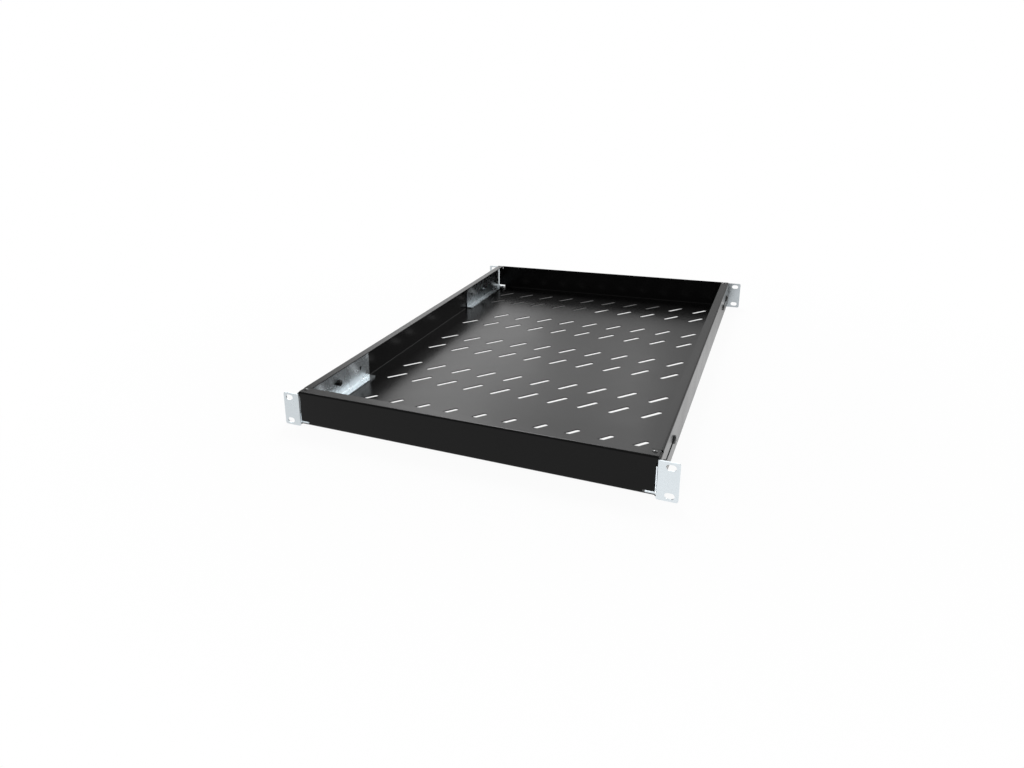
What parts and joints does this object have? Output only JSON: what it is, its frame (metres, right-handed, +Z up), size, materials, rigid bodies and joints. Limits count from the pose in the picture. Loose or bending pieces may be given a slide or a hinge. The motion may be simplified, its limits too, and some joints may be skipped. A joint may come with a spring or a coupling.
{
  "type": "rack shelf",
  "caption": "Open-topped rack shelf: black folded steel tray with a slotted floor on sliding zinc plated corner brackets with rack ears.",
  "frame": {"origin": "under the middle of the shelf, midway between the outer faces of the front and rear ears, level with the ears' lower edges", "axes": "+X to the right seen from the front, +Y from the front to the back, +Z up"},
  "size_m": [0.4826, 0.7282, 0.0479],
  "materials": {
    "black_powder_coat": "satin black powder coat with a faint grain",
    "zinc_plate": "bright zinc plating, mottled",
    "black_fastener": "black oxide"
  },
  "bodies": {
    "tray": {"tray": "black_powder_coat", "rivet_front_left": "black_fastener", "rivet_front_right": "black_fastener", "rivet_rear_left": "black_fastener", "rivet_rear_right": "black_fastener"},
    "bracket_front_left": {"bracket_front_left": "zinc_plate", "screw_front_left_outer": "black_fastener", "nut_front_left_outer": "black_fastener", "screw_front_left_inner": "black_fastener", "nut_front_left_inner": "black_fastener"},
    "bracket_front_right": {"bracket_front_right": "zinc_plate", "screw_front_right_outer": "black_fastener", "nut_front_right_outer": "black_fastener", "screw_front_right_inner": "black_fastener", "nut_front_right_inner": "black_fastener"},
    "bracket_rear_left": {"bracket_rear_left": "zinc_plate", "screw_rear_left_outer": "black_fastener", "nut_rear_left_outer": "black_fastener", "screw_rear_left_inner": "black_fastener", "nut_rear_left_inner": "black_fastener"},
    "bracket_rear_right": {"bracket_rear_right": "zinc_plate", "screw_rear_right_outer": "black_fastener", "nut_rear_right_outer": "black_fastener", "screw_rear_right_inner": "black_fastener", "nut_rear_right_inner": "black_fastener"}
  },
  "joints": [
    {"name": "front_left_slide", "type": "slide", "parent": "tray", "child": "bracket_front_left", "axis": [0, -1, 0], "range_m": [0, 0.018]},
    {"name": "front_right_slide", "type": "slide", "parent": "tray", "child": "bracket_front_right", "axis": [0, -1, 0], "range_m": [0, 0.018]},
    {"name": "rear_left_slide", "type": "slide", "parent": "tray", "child": "bracket_rear_left", "axis": [0, 1, 0], "range_m": [-0.0033, 0.0147]},
    {"name": "rear_right_slide", "type": "slide", "parent": "tray", "child": "bracket_rear_right", "axis": [0, 1, 0], "range_m": [-0.0033, 0.0147]}
  ]
}
